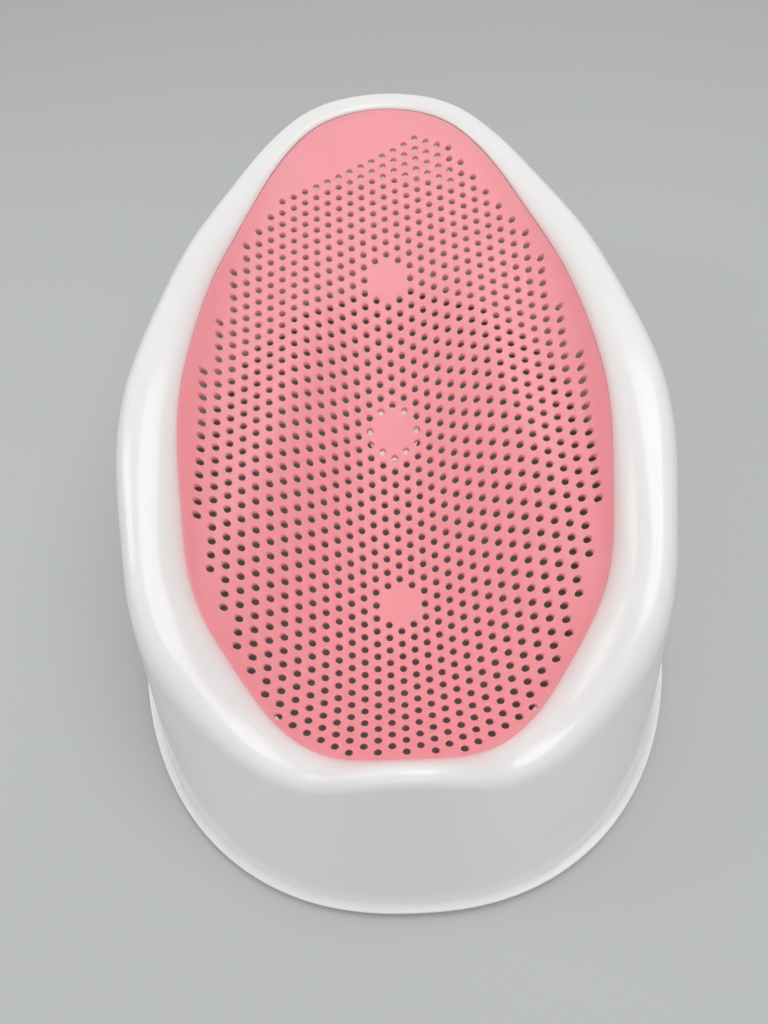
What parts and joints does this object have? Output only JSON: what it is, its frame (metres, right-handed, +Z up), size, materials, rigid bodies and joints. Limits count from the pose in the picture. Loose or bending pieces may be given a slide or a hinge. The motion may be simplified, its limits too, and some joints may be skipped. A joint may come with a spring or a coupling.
{
  "type": "baby bathtub support seat",
  "caption": "Reclined baby bath support: white hollow shell with a rolled rim and a soft perforated pink seat.",
  "frame": {"origin": "on the floor under the middle of the overall length and width", "axes": "+Z up, +Y towards the head end, +X to the side that is on the right when looking at +Y"},
  "size_m": [0.399, 0.586, 0.212],
  "materials": {
    "white_gloss_shell": "glossy moulded plastic, near white",
    "pink_soft_seat": "satin soft-touch elastomer, pink",
    "white_frame": "fine matte moulded plastic, white",
    "screw_steel": "plain stainless steel",
    "grey_soft_foot": "matte soft elastomer, grey"
  },
  "bodies": {
    "root": {"bath_shell": "white_gloss_shell", "mesh_seat": "pink_soft_seat", "seat_frame": "white_frame", "centre_collar": "white_frame", "frame_screw_01": "screw_steel", "frame_screw_02": "screw_steel", "frame_screw_03": "screw_steel", "frame_screw_04": "screw_steel", "frame_screw_05": "screw_steel", "frame_screw_06": "screw_steel", "frame_screw_07": "screw_steel", "frame_screw_08": "screw_steel", "frame_screw_09": "screw_steel", "frame_screw_10": "screw_steel", "frame_screw_11": "screw_steel", "frame_screw_12": "screw_steel", "foot_pad_head_right": "grey_soft_foot", "foot_pad_foot_right": "grey_soft_foot", "foot_pad_foot_left": "grey_soft_foot", "foot_pad_head_left": "grey_soft_foot"}
  },
  "joints": []
}
